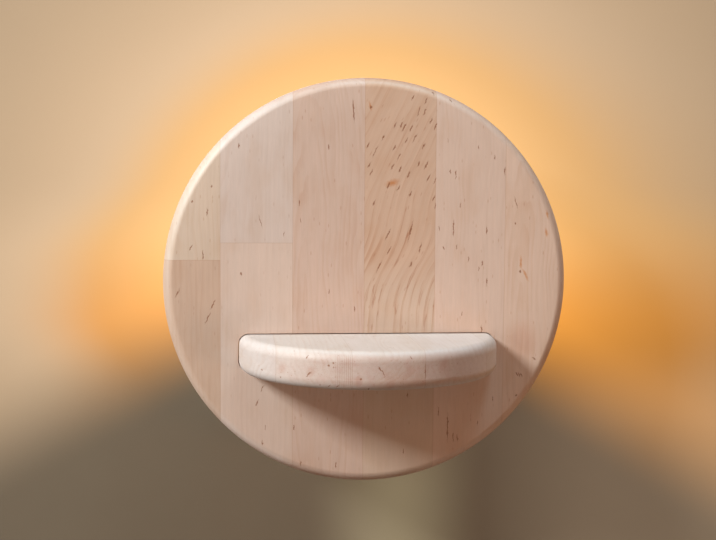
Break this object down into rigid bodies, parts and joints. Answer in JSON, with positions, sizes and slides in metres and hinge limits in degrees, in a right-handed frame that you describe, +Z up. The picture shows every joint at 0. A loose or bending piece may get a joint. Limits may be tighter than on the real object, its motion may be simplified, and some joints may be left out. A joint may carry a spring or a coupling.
{
  "type": "wall lamp with shelf",
  "caption": "Round solid-wood disc on a hidden wall bracket, with a half-round shelf board let through it and a plug-in lamp behind that washes the wall.",
  "frame": {"origin": "centre of the four wall holes in the rear face of the wall plate, on the axis of the disc", "axes": "+Y into the wall, -Y towards the room, +Z up, +X to the right of someone facing the wall"},
  "size_m": [0.25, 0.161, 0.25],
  "materials": {
    "disc_wood": "pale close-grained hardwood staves, edge-glued, fine sanded, clear matt oil",
    "shelf_wood": "pale close-grained hardwood, fine sanded, clear matt oil",
    "plate_paint": "white powder coat on 3 mm steel",
    "rod_steel": "drawn bar, light turning marks",
    "bracket_steel": "zinc-plated sheet",
    "screw_steel": "zinc-plated",
    "wood_screw_brass": "yellow-passivated",
    "black_steel": "black oxide",
    "brass": "turned brass",
    "pad_rubber": "soft matt rubber",
    "grommet_rubber": "moulded rubber",
    "white_nylon": "moulded nylon",
    "ceramic": "unglazed white ceramic",
    "lamp_plastic": "moulded white plastic",
    "lamp_cover": "milky translucent cover",
    "circuit_board": "white solder mask",
    "led_phosphor": "yellow phosphor in a white frame",
    "lead_brown": "silicone insulation",
    "lead_blue": "silicone insulation",
    "lead_green_yellow": "silicone insulation, striped"
  },
  "bodies": {
    "wall_bracket": {"wall_plate": "plate_paint", "left_support_rod": "rod_steel", "right_support_rod": "rod_steel", "cable_grommet": "grommet_rubber", "cable_clamp": "white_nylon", "clamp_screws": "screw_steel", "terminal_block": "white_nylon", "terminal_sleeves": "brass", "terminal_screws": "screw_steel", "block_screws": "screw_steel", "earth_lug": "brass", "earth_screw": "brass", "live_lead": "lead_brown", "neutral_lead": "lead_blue", "earth_lead": "lead_green_yellow", "holder_bracket": "bracket_steel", "holder_bracket_screws": "screw_steel", "lampholder": "ceramic", "holder_contacts": "brass", "holder_screws": "screw_steel"},
    "wooden_body": {"round_disc": "disc_wood", "shelf_board": "shelf_wood", "left_corner_bracket": "bracket_steel", "right_corner_bracket": "bracket_steel", "bracket_wood_screws": "wood_screw_brass", "threaded_inserts": "brass", "locking_screws": "black_steel", "wall_pads": "pad_rubber"},
    "lamp": {"bulb_base": "lamp_plastic", "bulb_pins": "screw_steel", "bulb_cover": "lamp_cover", "led_board": "circuit_board", "led_chips": "led_phosphor"}
  },
  "joints": [
    {"name": "body_slide", "type": "slide", "parent": "wall_bracket", "child": "wooden_body", "axis": [0, -1, 0], "range_m": [0, 0.06]},
    {"name": "bulb_pull", "type": "slide", "parent": "wall_bracket", "child": "lamp", "axis": [0, 0, 1], "range_m": [0, 0.012]}
  ]
}
